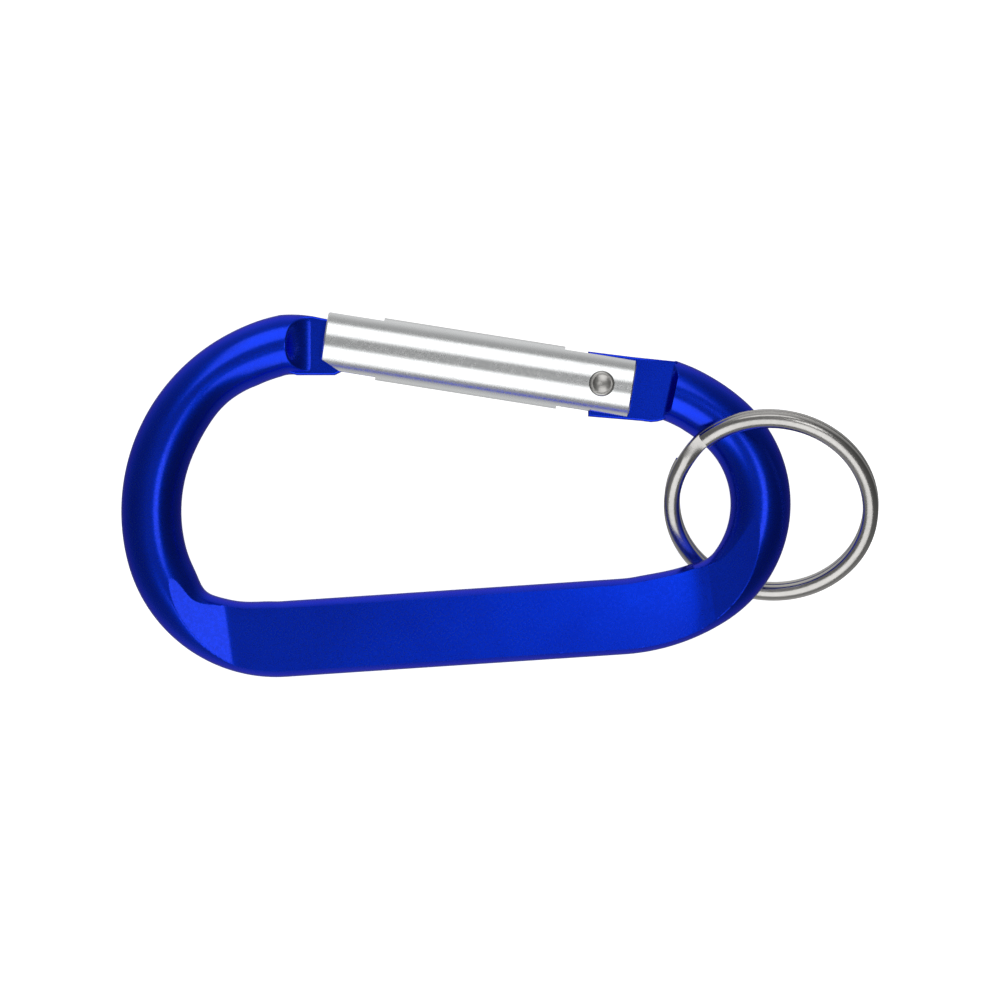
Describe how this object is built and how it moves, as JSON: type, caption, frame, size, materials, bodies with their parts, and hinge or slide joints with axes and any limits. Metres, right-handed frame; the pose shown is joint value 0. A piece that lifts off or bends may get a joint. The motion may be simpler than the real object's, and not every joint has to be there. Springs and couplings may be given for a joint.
{
  "type": "carabiner keyring",
  "caption": "Pocket carabiner bent from round rod with a flat-pressed spine, a sprung tube gate on a riveted hinge and a split ring for keys round its narrow end.",
  "frame": {"origin": "centre of the overall footprint, at the height of the split ring's lowest point", "axes": "+X along the carabiner from the wide hook end to the split-ring end, +Y from the spine to the gate, +Z out of the front face, with the frame lying level"},
  "size_m": [0.0864, 0.0417, 0.0134],
  "materials": {
    "blue_anodised": "blue anodised, polished",
    "gate_aluminium": "clear anodised, semi-gloss",
    "rivet_steel": "bright, dished ends",
    "spring_steel": "spring wire",
    "plunger_steel": "ground",
    "ring_nickel": "nickel plated"
  },
  "bodies": {
    "frame_body": {"frame": "blue_anodised"},
    "gate_body": {"gate": "gate_aluminium", "hinge_rivet": "rivet_steel", "gate_spring": "spring_steel"},
    "plunger_body": {"gate_plunger": "plunger_steel"},
    "ring_body": {"split_ring": "ring_nickel"}
  },
  "joints": [
    {"name": "gate_hinge", "type": "hinge", "parent": "frame_body", "child": "gate_body", "pos_m": [0.0115, 0.0127, 0.00622], "axis": [0, 0, 1], "range_deg": [0, 35], "stiffness_Nm_per_rad": 0.1, "springref_deg": -20.05},
    {"name": "plunger_slide", "type": "slide", "parent": "gate_body", "child": "plunger_body", "axis": [-0.9877, 0.1564, 0], "range_m": [0, 0.0007], "deforming": ["gate_spring"]},
    {"name": "ring_tip", "type": "hinge", "parent": "frame_body", "child": "ring_body", "pos_m": [0.0297, -0.001, 0.00673], "axis": [0.9877, -0.1564, 0], "range_deg": [0, 110]}
  ],
  "couplings": [
    {"joint": "plunger_slide", "follows": "gate_hinge", "m_per_rad": 0.0011459}
  ]
}
